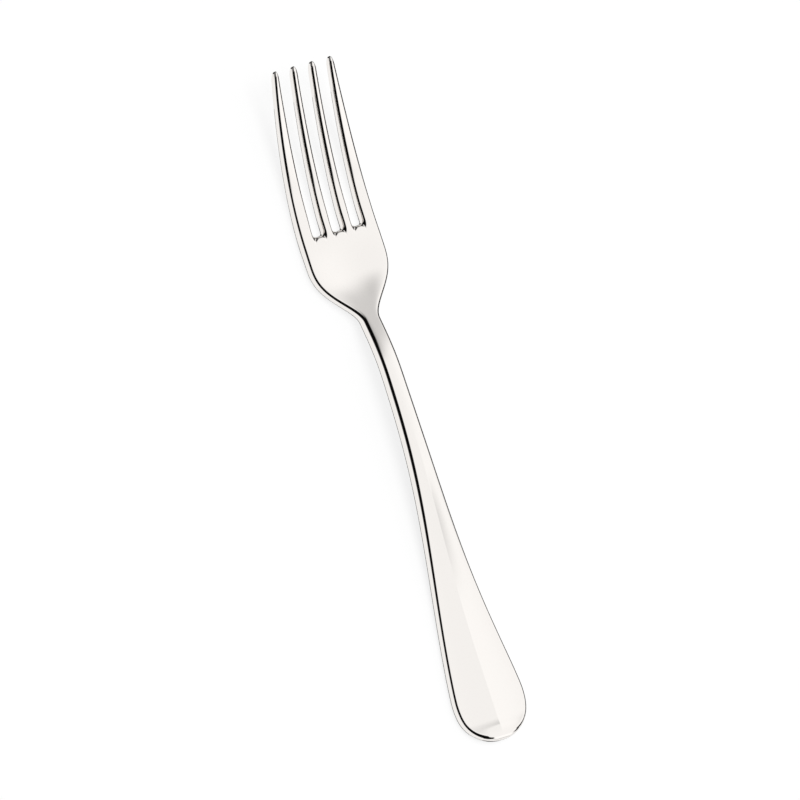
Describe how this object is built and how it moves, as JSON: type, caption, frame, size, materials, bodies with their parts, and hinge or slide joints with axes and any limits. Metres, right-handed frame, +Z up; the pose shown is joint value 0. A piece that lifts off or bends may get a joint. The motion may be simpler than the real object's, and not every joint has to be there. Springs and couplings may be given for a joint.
{
  "type": "dinner fork",
  "caption": "One-piece polished steel table fork with tapering curved tines, shallow palm, arched stem and a round ridged handle, lying face up.",
  "frame": {"origin": "on the table plane, under the middle of the fork's length and width", "axes": "+Y from the handle end to the tine points, +X to the right seen from above with the points away, +Z up from the table through the face"},
  "size_m": [0.0266, 0.2049, 0.013],
  "materials": {
    "steel": "polished"
  },
  "bodies": {
    "root": {"handle_end": "steel", "handle": "steel", "stem": "steel", "neck": "steel", "palm": "steel", "tine_left_outer": "steel", "tine_left_inner": "steel", "tine_right_inner": "steel", "tine_right_outer": "steel"}
  },
  "joints": []
}
